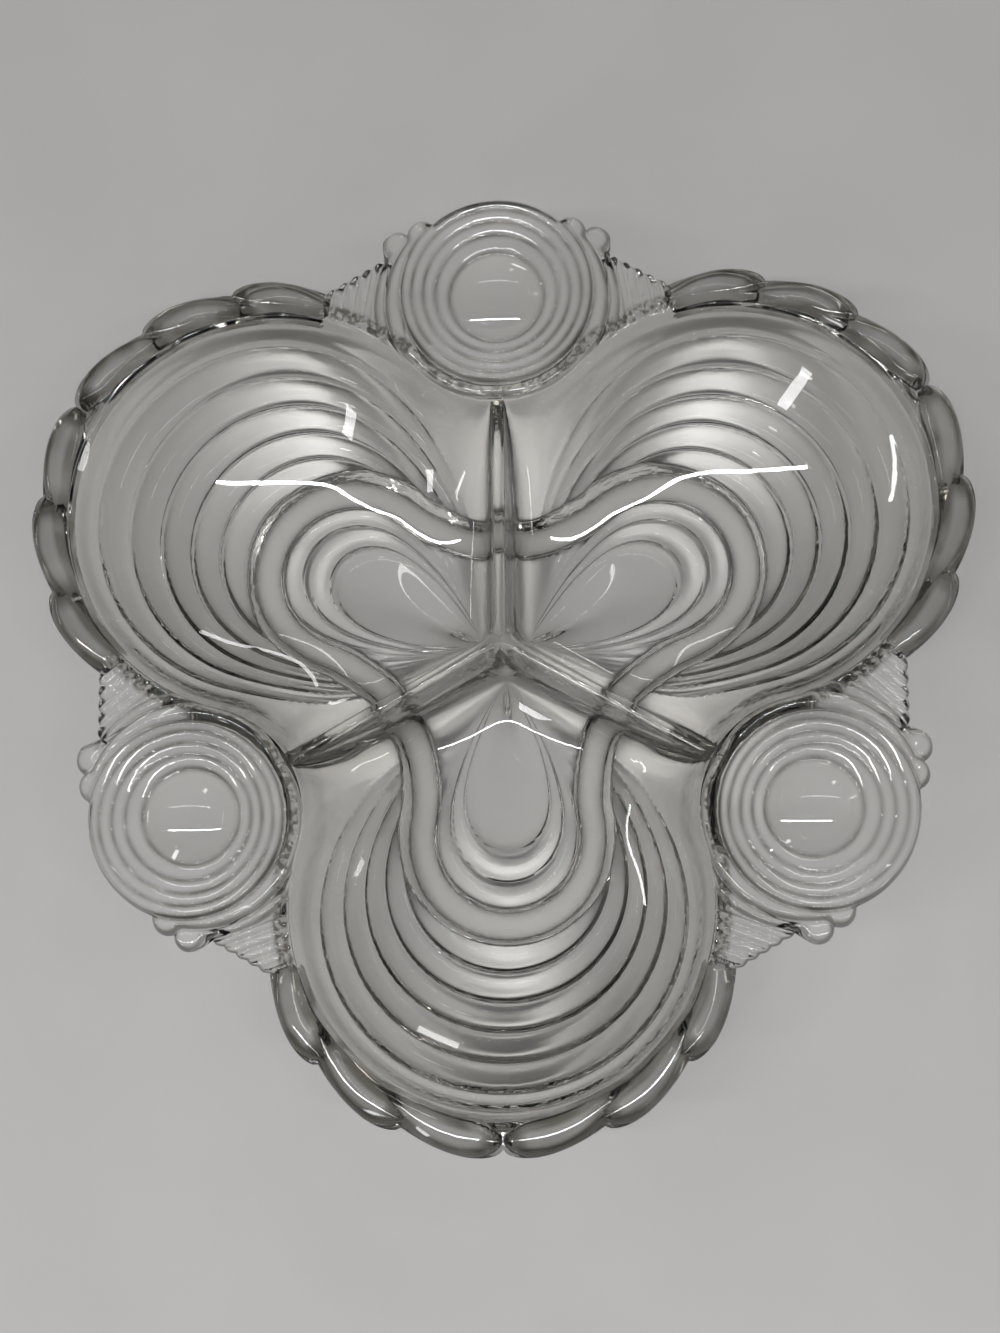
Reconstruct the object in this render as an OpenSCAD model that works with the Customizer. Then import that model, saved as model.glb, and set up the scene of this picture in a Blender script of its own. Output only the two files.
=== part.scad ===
// Relish tray of clear pressed glass: three round compartments, three walls between them and
// three round tab handles, standing on a foot ring in the shape of a trefoil.
// Millimetres, +Z up, table at z = 0. The tray is one pressing, drawn here as its own regions,
// which meet face to face on upright planes and cylinders.

/* [Compartments] */
// Distance from the tray's axis to the centre of a round compartment
lobe_offset = 69.5; // [68:0.5:71]
// Inner radius of a compartment at its rim
lobe_r = 54.6; // [53:0.2:56]
// Height of the rim's inner edge above the table
rim_h = 38; // [34:0.5:42]
// Thickness of the glass
glass_t = 4.5; // [3.5:0.1:5.5]
// How the side rises: 1 is a straight slope, more keeps the floor flat for longer
bowl_power = 1.7; // [1.4:0.1:2.2]

/* [Flutes under the floor] */
// Distance from the tray's axis to the far end of the innermost flute
eye_offset = 53.5; // [50:0.5:56]
// Width of the plain band between the last flute and the rim, along the middle of a compartment
plain_w = 5; // [4:0.5:9]
// Depth of a flute
flute_depth = 1.2; // [0.6:0.1:1.6]
// Depth of the grooves inside the foot ring
groove_depth = 0.8; // [0.4:0.1:1.2]

/* [Foot ring] */
// Height of the foot ring
foot_h = 3; // [2:0.5:4]
// Width of the foot ring
foot_w = 8.4; // [7:0.2:10]
// Distance from the tray's axis to the centre of a foot lobe
foot_lobe_offset = 48.4; // [47:0.2:49]
// Outer radius of a foot lobe
foot_lobe_r = 28.9; // [28:0.1:30]
// Distance from the tray's axis to the centre of the hollow between two foot lobes
foot_curl_offset = 72.7; // [71:0.1:74]

/* [Dividers] */
// How far the dividers' tops dip below the rim where they meet in the middle
divider_dip_h = 1.5; // [0:0.5:6]
// Thickness of a divider along its top
divider_top_w = 3.4; // [2.4:0.2:5]
// Width of a divider at the floor, with the fillets at its foot
divider_base_w = 14; // [11:0.5:16]
// How sharply a divider's sides sweep out into those fillets
divider_sweep = 4; // [3:0.5:5]

/* [Leaf rim] */
// Width of the rim at the notches between two leaves
rim_w = 7.2; // [6:0.2:9]
// How far a leaf bulges out past the notches
leaf_bulge = 2.7; // [1.5:0.1:3.5]
// Height of a leaf above the rim's inner edge
leaf_rise = 3; // [1.5:0.5:4]
// Thickness of a leaf at its outer edge
leaf_edge_t = 3; // [2:0.5:4]
// Angle that one leaf takes, about the centre of its compartment
leaf_pitch = 24.6; // [24:0.1:25]

/* [Handles] */
// Distance from the tray's axis to the centre of a handle
handle_offset = 92.5; // [91.5:0.5:93.5]
// Radius of the round disc of a handle
disc_r = 27.3; // [26.5:0.1:28]
// Thickness of the disc at its edge
disc_t = 6; // [5:0.5:8]
// Radius of the plain round eye of the disc
eye_r = 12.6; // [11:0.2:14]
// How far one ring of the disc stands above the next
ripple_h = 0.8; // [0.4:0.1:1.2]
// Radius of the ribs beside the disc
rib_r = 1.4; // [1:0.1:1.6]
// Thickness of the web that joins the disc to the walls and the rim
web_t = 3; // [2:0.5:4]

/* [Hidden] */
$fn = 96;

// The glass is clear with a faint grey-green cast; each region has its own depth of it
floor_glass = [0.80, 0.83, 0.81];
rim_glass = [0.66, 0.70, 0.67];
divider_glass = [0.58, 0.62, 0.60];
handle_glass = [0.72, 0.76, 0.74];
foot_glass = [0.50, 0.55, 0.52];

// Three-fold layout: a compartment lies between two handles, 60 degrees from each
half_turn = 60;
front = -90;
left = 150;
right = 30;
rear_handle = 90;
left_handle = 210;
right_handle = 330;
// Hairline left between two regions that meet on a curve
seam = 0.1;

// Centres of the plan's circles, seen from above with the compartment's axis along +Y.
// The rim's circle runs smoothly into the circle that the handle cuts out of the compartment.
toward_handle = [sin(half_turn), cos(half_turn)];
lobe_c = [0, lobe_offset];
handle_c = handle_offset * toward_handle;
apron_r = norm(handle_c - lobe_c) - lobe_r;
divider_h = rim_h - divider_dip_h;
foot_c = [0, foot_lobe_offset];
curl_c = foot_curl_offset * toward_handle;
curl_r = norm(curl_c - foot_c) - foot_lobe_r;
floor_h = foot_h + glass_t;
wall_half = divider_base_w / 2;

// Surfaces of a compartment, from a point [across, out] in plan

// Angle of a direction in plan, from the compartment's axis
function bearing(d) = atan2(d[0], d[1]);
// True on the outer side of the line from a to b
function beyond(p, a, b) = cross([b[0] - a[0], b[1] - a[1], 0], [p[0] - a[0], p[1] - a[1], 0])[2] > 0;
function mirrored(p) = [abs(p[0]), p[1]];
// Distance out from the foot ring's outer edge
function foot_gap(p) = beyond(p, foot_c, curl_c) ? norm(p - foot_c) - foot_lobe_r
                                                 : curl_r - norm(p - curl_c);
// Distance in from the edge of the compartment
function rim_gap(p) = beyond(p, lobe_c, handle_c) ? lobe_r - norm(p - lobe_c)
                                                  : norm(p - handle_c) - apron_r;
// Distance from the upright plane where the divider's base begins
function wall_gap(p) = p[1] * sin(half_turn) - p[0] * cos(half_turn) - wall_half;

function run(p) = max(0, foot_gap(p)) + max(0, rim_gap(p));
function rise_share(p) = run(p) > 0 ? max(0, foot_gap(p)) / run(p) : 0;
function bowl(p) = floor_h + (rim_h - floor_h) * pow(rise_share(p), bowl_power);
function slope(p) = run(p) > 0 ? (rim_h - floor_h) * bowl_power
                                 * pow(rise_share(p), bowl_power - 1) / run(p) : 0;
function under_z(p) = max(foot_h, bowl(p) - glass_t * sqrt(1 + pow(slope(p), 2)));

// Flutes: nested drop-shaped loops whose tips point at the middle of the tray.
// A loop is named by its reach, the distance from the tray's axis to its far end.

eye_spread = 20;
spread_rate = 24;
eye_round = 0.2;
round_rate = 0.16;
halvings = 24;
last_flute = 8;
grooved_flutes = 1.5;
last_reach = lobe_offset + lobe_r - plain_w;
flute_pitch = (last_reach - eye_offset) / last_flute;
// Half the angle at a loop's tip
function spread(reach) = reach < eye_offset ? eye_spread * sqrt(reach / eye_offset)
                                           : eye_spread + spread_rate * (reach / eye_offset - 1);
function roundness(reach) = eye_round + round_rate * max(0, reach / eye_offset - 1);
// Point of a loop, with w from 0 at its far end to 1 at its tip
function loop_point(reach, w) =
    let (s = sin(90 * w), r = reach * pow(max(0, cos(90 * s)), roundness(reach)))
    [r * sin(spread(reach) * s), r * cos(spread(reach) * s)];
// The w at which a loop runs into the divider's base, found by halving the interval
function loop_end(reach, lo = 0, hi = 1, steps = halvings) =
    steps == 0 ? lo
    : wall_gap(loop_point(reach, (lo + hi) / 2)) > 0
        ? loop_end(reach, (lo + hi) / 2, hi, steps - 1)
        : loop_end(reach, lo, (lo + hi) / 2, steps - 1);

function flute_wave(reach) = abs(sin(180 * (reach - eye_offset) / flute_pitch));
function is_fluted(reach) = reach > eye_offset && reach < last_reach;
function is_grooved(reach) = reach >= eye_offset && reach < eye_offset + grooved_flutes * flute_pitch;
function groove(reach) = is_grooved(reach) ? groove_depth * pow(1 - flute_wave(reach), 2) : 0;
function fluted_z(p, reach) =
    max(foot_h, under_z(p) - (is_fluted(reach) ? flute_depth * flute_wave(reach) : 0))
    + groove(reach);

// Grid of a compartment: rows are loops, from the middle of the tray to the rim

columns = 28;
eye_row_shares = [0.35, 0.65, 0.85];
steps_per_flute = 3;
edge_row_shares = [0.34, 0.67, 1];
loop_reaches = concat([for (share = eye_row_shares) share * eye_offset],
                      [for (i = [0 : last_flute * steps_per_flute])
                           eye_offset + i * flute_pitch / steps_per_flute]);

corner = [0, wall_half / sin(half_turn)];
first_end = loop_point(loop_reaches[0], loop_end(loop_reaches[0]));
// Angles about the lobe's centre and the handle's centre where the edge changes circle and ends
turn_at = bearing(handle_c - lobe_c);
edge_r = apron_r + seam;
apron_turn = turn_at - half_turn - asin(wall_half / edge_r);
rim_arc = lobe_r * turn_at * PI / 180;
apron_arc = edge_r * apron_turn * PI / 180;

// Point on the compartment's edge, from 0 at the tip of the lobe to 1 at the divider
function edge_point(share) =
    let (s = sin(90 * share) * (rim_arc + apron_arc))
    s < rim_arc
        ? lobe_c + lobe_r * [sin(s / rim_arc * turn_at), cos(s / rim_arc * turn_at)]
        : let (a = turn_at - (s - rim_arc) / apron_arc * apron_turn)
          handle_c - edge_r * [sin(a), cos(a)];

function on_side(p, side) = [side < 0 ? -p[0] : p[0], p[1]];
function middle_row() = [for (i = [-columns / 2 : columns / 2])
    let (share = abs(i) * 2 / columns)
    concat(on_side(corner + (first_end - corner) * share / 2, i), [0])];
function loop_row(reach) = [for (i = [-columns / 2 : columns / 2])
    let (w = abs(i) * 2 / columns * loop_end(reach))
    concat(on_side(loop_point(reach, w), i), [reach])];
function edge_row(edge_share) = [for (i = [-columns / 2 : columns / 2])
    let (share = abs(i) * 2 / columns,
         inner = loop_point(last_reach, share * loop_end(last_reach)))
    concat(on_side(inner + (edge_point(share) - inner) * edge_share, i), [last_reach])];

// Solid between two height fields over one grid of points in plan; each point of the grid is
// [across, out, top, under]
module patch(grid) {
    last_row = len(grid) - 1;
    cols = len(grid[0]);
    last_col = cols - 1;
    count = len(grid) * cols;
    points = concat([for (row = grid) for (q = row) [q[0], q[1], q[2]]],
                    [for (row = grid) for (q = row) [q[0], q[1], q[3]]]);
    function t(j, i) = j * cols + i;
    function b(j, i) = count + j * cols + i;
    function quad(p, q, r, s) = [[p, q, r], [p, r, s]];
    faces = concat(
        [for (j = [0 : last_row - 1]) for (i = [0 : last_col - 1])
            each concat(quad(t(j, i), t(j + 1, i), t(j + 1, i + 1), t(j, i + 1)),
                        quad(b(j, i), b(j, i + 1), b(j + 1, i + 1), b(j + 1, i)))],
        [for (i = [0 : last_col - 1])
            each concat(quad(t(0, i), t(0, i + 1), b(0, i + 1), b(0, i)),
                        quad(t(last_row, i + 1), t(last_row, i), b(last_row, i),
                             b(last_row, i + 1)))],
        [for (j = [0 : last_row - 1])
            each concat(quad(t(j + 1, 0), t(j, 0), b(j, 0), b(j + 1, 0)),
                        quad(t(j, last_col), t(j + 1, last_col), b(j + 1, last_col),
                             b(j, last_col)))]);
    polyhedron(points = points, faces = faces);
}

module compartment() {
    grid = concat([middle_row()],
                  [for (reach = loop_reaches) loop_row(reach)],
                  [for (share = edge_row_shares) edge_row(share)]);
    color(floor_glass)
        patch([for (row = grid) [for (q = row)
            let (p = mirrored([q[0], q[1]]))
            [q[0], q[1], bowl(p), fluted_z(p, q[2])]]]);
}

// Rim of a compartment: a row of leaves, each thick at the end toward the lobe's tip

leaves_per_side = 3;
leaf_steps = 7;
rim_end = leaves_per_side * leaf_pitch;
rim_across_shares = [0, 0.22, 0.45, 0.68, 0.88, 1];
edge_drop_share = 0.33;
lean_power = 0.6;
rim_under_in = under_z(lobe_c + [0, lobe_r]);
// How full a leaf is, from 0 at one notch to 1 at its widest
function leaf_fullness(angle) =
    sin(180 * pow(abs(angle) / leaf_pitch - floor(abs(angle) / leaf_pitch), lean_power));
function rim_outer(angle) = lobe_r + rim_w + leaf_bulge * leaf_fullness(angle);
function rim_point(angle, share) =
    let (in_r = lobe_r + seam,
         r = in_r + (rim_outer(angle) - in_r) * share,
         crown = leaf_rise * sin(180 * share) * (1 + leaf_fullness(angle)) / 2,
         edge_top = rim_h - edge_drop_share * leaf_edge_t)
    [lobe_c[0] + r * sin(angle), lobe_c[1] + r * cos(angle),
     rim_h + (edge_top - rim_h) * share + crown,
     rim_under_in + (edge_top - leaf_edge_t - rim_under_in) * share];
// Lowest point of the front compartment's rim in plan, which the part's origin is taken from
lobe_reach = max([for (i = [0 : leaf_steps])
    lobe_c[1] + rim_outer(i / leaf_steps * leaf_pitch) * cos(i / leaf_steps * leaf_pitch)]);

module rim() {
    steps = leaves_per_side * leaf_steps;
    color(rim_glass)
        patch([for (share = rim_across_shares)
            [for (i = [-steps : steps]) rim_point(i / steps * rim_end, share)]]);
}

// Divider: a drafted wall from the middle of the tray to the apron of a handle

divider_across_shares = [-1, -0.75, -0.52, -0.38, -0.3, -0.15, 0, 0.15, 0.3, 0.38, 0.52, 0.75, 1];
divider_rows = 12;
apron_at = handle_offset - apron_r;
ridge_round_share = 0.25;
function wall_top(r) = divider_h + (rim_h - divider_h) * pow(r / apron_at, 2);
function divider_point(share, row_share) =
    let (s = wall_half * share,
         r_in = abs(s) / tan(half_turn),
         r_out = handle_offset - sqrt(pow(edge_r, 2) - pow(s, 2)),
         r = r_in + (r_out - r_in) * row_share,
         beside = r * toward_handle + wall_half * [-cos(half_turn), sin(half_turn)],
         ridge_share = divider_top_w / divider_base_w,
         down_share = max(0, (abs(share) - ridge_share) / (1 - ridge_share)),
         crown = ridge_round_share * divider_top_w * pow(min(1, abs(share) / ridge_share), 2),
         height = wall_top(r) - crown - bowl(beside))
    [s, r, bowl(beside) + height * pow(1 - down_share, divider_sweep),
     under_z(r * toward_handle)];

module divider() {
    color(divider_glass)
        patch([for (j = [0 : divider_rows])
            [for (share = divider_across_shares) divider_point(share, j / divider_rows)]]);
}

// Handle: a round disc with rings, crescents that hug it on both sides, scallops at their outer
// ends, and fine ribs down to the first leaf of the rim

ring_count = 3;
ring_steps = 6;
ring_w = (disc_r - eye_r) / ring_count;
disc_top = rim_h + leaf_rise;
disc_under = disc_top - disc_t;
crescent_shift_shares = [[0.10, -0.03], [0.21, -0.06]];
crescent_in_share = 0.95;
crescent_drop = 0.7;
scallop_shares = [[0.707, 0.648, 0.135], [0.963, 0.546, 0.147]];
rib_count = 5;
rib_start_shares = [1.114, 0.397];
// The compartment beside the handle, seen with the handle's axis along +Y from its centre
beside_lobe = lobe_offset * toward_handle - [0, handle_offset];
rim_end_dir = [sin(half_turn - rim_end), cos(half_turn - rim_end)];
rim_end_in = beside_lobe + (lobe_r + seam) * rim_end_dir;
rim_end_out = beside_lobe + (lobe_r + rim_w) * rim_end_dir;
ribs_from = rib_start_shares * disc_r;

function ring_z(r) = r < eye_r ? disc_top - ripple_h
                               : disc_top - ripple_h * pow(cos(180 * (r - eye_r) / ring_w), 2);

module disc() {
    steps = ring_count * ring_steps;
    profile = concat([[0, disc_under], [disc_r, disc_under]],
                     [for (i = [steps : -1 : 0])
                         let (r = eye_r + i / steps * (disc_r - eye_r)) [r, ring_z(r)]],
                     [[0, disc_top - ripple_h]]);
    rotate_extrude() polygon(profile);
}

// Plan of the handle's right flank, between the disc, the compartment's rim and the first leaf
module flank_plan() {
    scallops = [for (s = scallop_shares) [s[0], s[1]] * disc_r];
    difference() {
        polygon([[0, 0], beside_lobe, rim_end_out, ribs_from, scallops[1], scallops[0]]);
        translate(beside_lobe) circle(r = lobe_r + seam);
    }
}

// Plan of the collar between the disc and the compartments' walls
module collar_plan() {
    intersection() {
        circle(r = apron_r);
        polygon([[0, 0], beside_lobe, [-beside_lobe[0], beside_lobe[1]]]);
    }
}

module crescents() {
    for (k = [0 : len(scallop_shares) - 1]) {
        drop = (k + 1) * crescent_drop;
        top = disc_top - drop;
        linear_extrude(height = top - disc_under) {
            difference() {
                intersection() {
                    flank_plan();
                    translate(crescent_shift_shares[k] * disc_r) circle(r = disc_r);
                }
                circle(r = crescent_in_share * disc_r);
            }
            translate([scallop_shares[k][0], scallop_shares[k][1]] * disc_r)
                circle(r = scallop_shares[k][2] * disc_r);
        }
    }
}

module ribs() {
    pitch = (rim_end_out - ribs_from) / rib_count;
    difference() {
        for (k = [0.5 : rib_count - 0.5])
            translate(concat(ribs_from + k * pitch, [rim_h - disc_under]))
                rotate([90, 0, 0]) cylinder(r = rib_r, h = disc_r);
        translate(beside_lobe) translate([0, 0, -disc_under])
            cylinder(r = lobe_r + seam, h = disc_under + disc_top);
    }
}

module handle() {
    color(handle_glass) {
        disc();
        translate([0, 0, disc_under]) {
            linear_extrude(height = web_t) collar_plan();
            for (side = [0, 1]) mirror([side, 0, 0]) {
                linear_extrude(height = web_t) flank_plan();
                crescents();
                ribs();
            }
        }
    }
}

// Foot ring: the tray stands on its flat lower face

arc_steps = 14;
meet_at = bearing(curl_c - foot_c);
// Outline of a trefoil: three lobe arcs that run smoothly into three hollow arcs
function trefoil(inset) = [for (turn = [0, -120, -240])
    let (out = [-sin(turn), cos(turn)], across = [cos(turn), sin(turn)])
    each concat(
        [for (i = [-arc_steps : arc_steps])
            let (a = i / arc_steps * meet_at,
                 p = foot_c + (foot_lobe_r - inset) * [sin(a), cos(a)])
            p[0] * across + p[1] * out],
        [for (i = [1 : 2 * arc_steps - 1])
            let (a = meet_at - i / arc_steps * (meet_at - half_turn),
                 p = curl_c - (curl_r + inset) * [sin(a), cos(a)])
            p[0] * across + p[1] * out])];

module foot_ring() {
    color(foot_glass) at(front)
        linear_extrude(height = foot_h) difference() {
            polygon(trefoil(0));
            polygon(trefoil(foot_w));
        }
}

// The part's origin is at the middle of its box, on the table
middle_y = (handle_offset + disc_r - lobe_reach) / 2;
module at(angle, out = 0) translate([0, -middle_y, 0]) rotate(angle - 90) translate([0, out, 0]) children();

module compartment_front() at(front) compartment();
module compartment_left() at(left) compartment();
module compartment_right() at(right) compartment();
module rim_front() at(front) rim();
module rim_left() at(left) rim();
module rim_right() at(right) rim();
module divider_rear() at(rear_handle) divider();
module divider_left() at(left_handle) divider();
module divider_right() at(right_handle) divider();
module handle_rear() at(rear_handle, handle_offset) handle();
module handle_left() at(left_handle, handle_offset) handle();
module handle_right() at(right_handle, handle_offset) handle();

compartment_front();
compartment_left();
compartment_right();
rim_front();
rim_left();
rim_right();
divider_rear();
divider_left();
divider_right();
handle_rear();
handle_left();
handle_right();
foot_ring();
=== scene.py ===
"""Relish tray of clear pressed glass: three fluted compartments, three dividers, three tab handles."""

import math

import bpy
import numpy as np
from mathutils import Euler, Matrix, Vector


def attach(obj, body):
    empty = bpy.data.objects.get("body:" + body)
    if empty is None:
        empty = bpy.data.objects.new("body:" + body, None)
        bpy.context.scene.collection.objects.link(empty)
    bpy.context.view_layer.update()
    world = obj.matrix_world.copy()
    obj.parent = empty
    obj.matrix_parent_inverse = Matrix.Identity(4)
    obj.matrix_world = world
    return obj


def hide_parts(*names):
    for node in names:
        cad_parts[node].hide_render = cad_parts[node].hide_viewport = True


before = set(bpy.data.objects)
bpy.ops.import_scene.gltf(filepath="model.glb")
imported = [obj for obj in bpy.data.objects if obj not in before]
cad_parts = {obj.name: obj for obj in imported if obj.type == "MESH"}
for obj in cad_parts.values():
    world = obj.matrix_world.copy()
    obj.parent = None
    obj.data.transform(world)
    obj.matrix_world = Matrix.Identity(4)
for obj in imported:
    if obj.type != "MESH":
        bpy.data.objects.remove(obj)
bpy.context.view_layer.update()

# Millimetres and degrees, in the plan of one compartment: u across, v out from the tray's axis
MM = 0.001
LOBE_OFFSET, LOBE_R = 69.5, 54.6
RIM_H, FLOOR_H, GLASS_T = 38.0, 7.3, 3.8
MIDDLE_Y = -6.852
LOBES, HALVES, LOBE_TURNS = 3, 6, (150, 30, 270)
FIRST_LOBE, SECTOR, HALF_SECTOR = math.radians(150), math.radians(120), math.radians(60)
RIM_BLEND, LEAST_BAND, TINY = 1.2, 0.01, 1e-9

# Bowl: how sharply it rises and from where, later beside a divider, and how it goes on past its edge
BOWL_POWER, RISE_START, CHANNEL_POWER, CHANNEL_W = 2.6, 28.0, 1.2, 12.0
PAST_EDGE, PAST_SLOPE, LEAST_RUN, STEEPEST = 2.0, 2.0, 1.0, 2.2

# Foot ring
FOOT_W, FOOT_LOBE_OFFSET, FOOT_LOBE_R, FOOT_CURL_OFFSET = 8.4, 48.4, 28.9, 72.7
FOOT_SIDE_IN, FOOT_SIDE_OUT = 0.7, 1.3

# Flutes of the underside, along drop-shaped loops round each compartment's eye
EYE_REACH, LAST_REACH, FLUTES, FLUTE_DEPTH, FLUTE_FULL = 53.5, 119.1, 8, 2.2, 2.4
FLUTE_CLEAR, FLUTE_FADE, FLUTE_RIM_FADE = 1.5, 6.0, 4.0
EYE_SPREAD, SPREAD_RATE, EYE_ROUND, ROUND_RATE = 20.0, 24.0, 0.2, 0.16
LEAST_REACH, MOST_REACH, HALVINGS = 1.0, 260.0, 26

# Dividers
DIVIDER_H, DIVIDER_TOP, CROWN_R, FILLET_R, STRIP_W = 36.5, 3.4, 1.6, 14.0, 17.5
DRAFT, CORNER_ROUND = math.radians(6), 4.0
LEAST_WALL, FILLET_SHARE, CROWN_SHARE = 0.02, 0.6, 0.3

# Rim with its leaves
RIM_W, RIM_FALL, RIM_UNDER, LEAF_UNDER = 7.2, 0.1, 35.8, 30.8
RIM_DIP, RIM_DIP_TURN, RIM_DIP_RUN = 1.6, 6.0, 3.0
LEAVES, LEAF_PITCH, LEAF_BULGE, LEAF_LEAN, LEAF_LEAD, LEAF_TAIL = 3, 24.6, 2.6, 0.6, 0.4, 1.5
LEAF_HALF, LEAF_LEAST, LEAF_MIDDLE, TAIL_MIDDLE, TAIL_FROM, TAIL_OVER = 4.6, 0.05, 5.3, 1.2, 0.25, 0.75
LEAF_RISE, LEAF_FALL, LEAF_TILT, LEAF_TILT_FROM = 3.3, 0.5, 0.14, 1.0
LEAF_BODY_RUN, LEAF_BLEND = 2.0, 0.3

# Handles: scallops, crescent shifts and the ribs' start are shares of the disc's radius
HANDLE_OFFSET, DISC_R, DISC_TOP, DISC_EDGE_W, EYE_R, EYE_DOME_R = 92.5, 27.3, 41.0, 1.6, 12.6, 22.6
RING_EDGES, RING_SHIFTS = (12.6, 16.4, 19.6, 22.7, 25.8), (0.0, 0.7, 1.0, 1.2, 1.5)
RING_TOP, RING_RISE, RING_TILT, RING_ROUND, RING_GROOVE, GROOVE_POWER = 38.9, 0.45, 0.5, 0.15, 0.45, 8
WEB_TOP, WEB_RUN, HANDLE_UNDER, EYE_UNDER_SAG = 37.0, 3.0, 34.6, 2.4
CRESCENT_SHIFTS = ((0.10, -0.03), (0.21, -0.06))
SCALLOPS = ((0.735, 0.665, 0.152), (0.972, 0.565, 0.152))
CRESCENT_TOP, CRESCENT_DROP, CRESCENT_BLEND, CRESCENT_FULL_W = 39.6, 0.6, 1.0, 2.4
RIB_COUNT, RIB_TOP, RIB_H, RIB_START, RIB_LEAN = 5, 39.0, 1.6, (1.114, 0.397), 0.18
RIB_CREASE, RIB_FADE, RIB_RUN, RIB_WAVE, RIB_WAVE_ASIDE = 0.001, 2.0, 2.5, 0.55, 0.4
NOTCH_R, EDGE_R = 31.2, 1.3

# Marks on the mesh that paint shade onto the glass, smooth or speckled: how strong, where and how wide
RIM_SHADE, WINDOW_HALF, WINDOW_SOFT, WINDOW_CLEAR = 0.6, 0.25, 0.35, 0.55
WINDOW_FROM, WINDOW_IN, WINDOW_TO, WINDOW_OUT = 0.07, 0.1, 0.5, 0.3
WALL_BAND, WALL_START, WALL_IN, WALL_OUT, WALL_CLEAR = 3.4, 0.3, 0.6, 1.6, 0.8
GROOVE_W, GROOVE_SHADE, DISC_EDGE_SHADE, DISC_LINE = 0.75, 0.95, 1.0, 0.4
OUTLINE_SHADE, OUTLINE_W, CRESCENT_SHADE, CRESCENT_LINE = 0.95, 1.2, 0.9, 0.7
FOOT_LINE, FOOT_LINE_W = 0.3, 1.1

# Marks on the mesh: how much light it lets through to the table
FOCUS_AT, FOCUS_W, FOCUS_LOW, FOCUS_GAIN, FOCUS_LEAST = 0.15, 0.36, 0.35, 1.9, 0.05
FOCUS_RISE, FOCUS_RISE_FLUTES, FOCUS_EYE_RUN, FOCUS_RIM_RUN = 0.6, 3, 2.0, 3.0
LAMP_ASIDE, LAMP_ALONG = 0.7, 0.8
FOOT_SHADOW, BAND_LIGHT, BAND_W = 0.93, 0.3, 2.4

# Columns and rows of the mesh's two grids
LEAF_COLS, FLANK_COLS, APRON_COLS, WALL_STEPS, FILLET_STEPS = 90, 84, 20, 14, 18
FILLET_LEAN, EVEN_COLS, SHORT_OF_END = 1.3, 0.55, 1e-6
CROWN_ANGLES = np.radians((0, 18, 36, 52, 64, 73, 80, 84))
EDGE_STEPS = EDGE_R * (1 - np.cos(np.radians(np.linspace(90, 0, 9))))
RIM_STEPS = np.array((0, 0.12, 0.28, 0.48, 0.75, 1.1, 1.6, 2.2))
LOOP_STEPS, FOOT_STEPS = np.array((0.0, 0.6)), np.array((0.0,))
FIRST_LOOP, LOOP_ROWS, LOOP_POINTS, RIM_ROWS, OUTER_TOP_ROWS = 18, 46, 600, 16, 118
HUB_ROWS, HUB_LEAN, WALL_ROWS, OUTER_UNDER_ROWS = 60, 0.75, 112, 26
FOOT_SIDE_ROWS, FOOT_BAND_ROWS, FOOT_FINE_OUT, FOOT_FINE_IN = 15, 8, 2.2, 1.4
RIB_POINTS, DISC_POINTS, STEP_SHARE = 121, 700, 0.48

SIN60, COS60 = math.sin(HALF_SECTOR), math.cos(HALF_SECTOR)
HANDLE_C = (HANDLE_OFFSET * SIN60, HANDLE_OFFSET * COS60)
CURL_C = (FOOT_CURL_OFFSET * SIN60, FOOT_CURL_OFFSET * COS60)
APRON_R = math.hypot(HANDLE_C[0], HANDLE_C[1] - LOBE_OFFSET) - LOBE_R
CURL_R = math.hypot(CURL_C[0], CURL_C[1] - FOOT_LOBE_OFFSET) - FOOT_LOBE_R
TURN_AT = math.atan2(HANDLE_C[0], HANDLE_C[1] - LOBE_OFFSET)
MEET_AT = math.atan2(CURL_C[0], CURL_C[1] - FOOT_LOBE_OFFSET)
FLUTE_PITCH = (LAST_REACH - EYE_REACH) / FLUTES
RIM_END = math.radians(LEAVES * LEAF_PITCH)


def smooth_min(a, b, k):
    h = np.maximum(k - np.abs(a - b), 0) / k
    return np.minimum(a, b) - h * h * k / 4


def smooth_max(a, b, k):
    return -smooth_min(-a, -b, k)


def smooth_step(x):
    x = np.clip(x, 0, 1)
    return x * x * (3 - 2 * x)


def bell(x, width):
    return np.exp(-(x / width) ** 2)


def beyond(u, v, a, b):
    """True on the outer side of the line from a to b."""
    return (b[0] - a[0]) * (v - a[1]) - (b[1] - a[1]) * (u - a[0]) > 0


# Places in the plan
def foot_gap(u, v):
    """Distance out from the foot ring's outer edge."""
    lobe = np.hypot(u, v - FOOT_LOBE_OFFSET) - FOOT_LOBE_R
    curl = CURL_R - np.hypot(u - CURL_C[0], v - CURL_C[1])
    return np.where(beyond(u, v, (0, FOOT_LOBE_OFFSET), CURL_C), lobe, curl)


def off_foot(u, v):
    """Distance to either side of the foot ring; it is less than zero on the ring."""
    foot = foot_gap(u, v)
    return np.maximum(foot, -FOOT_W - foot)


def rim_gap(u, v):
    """Distance in from the compartment's edge."""
    lobe = LOBE_R - np.hypot(u, v - LOBE_OFFSET)
    apron = np.hypot(u - HANDLE_C[0], v - HANDLE_C[1]) - APRON_R
    return np.where(beyond(u, v, (0, LOBE_OFFSET), HANDLE_C), lobe, apron)


def along_divider(u, v):
    return u * SIN60 + v * COS60


def beside_divider(u, v):
    return v * SIN60 - u * COS60


def from_divider(s, r):
    """Plan point that lies s beside a divider and r along it."""
    return r * SIN60 - s * COS60, r * COS60 + s * SIN60


def on_handle(u, v):
    """A point's place on a handle: beside the handle's axis and beyond its centre."""
    return beside_divider(u, v), along_divider(u, v) - HANDLE_OFFSET


def off_disc(s, t):
    """Distance out from the edge of a handle's disc."""
    return np.hypot(s, t - RING_SHIFTS[-1]) - RING_EDGES[-1]


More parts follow.
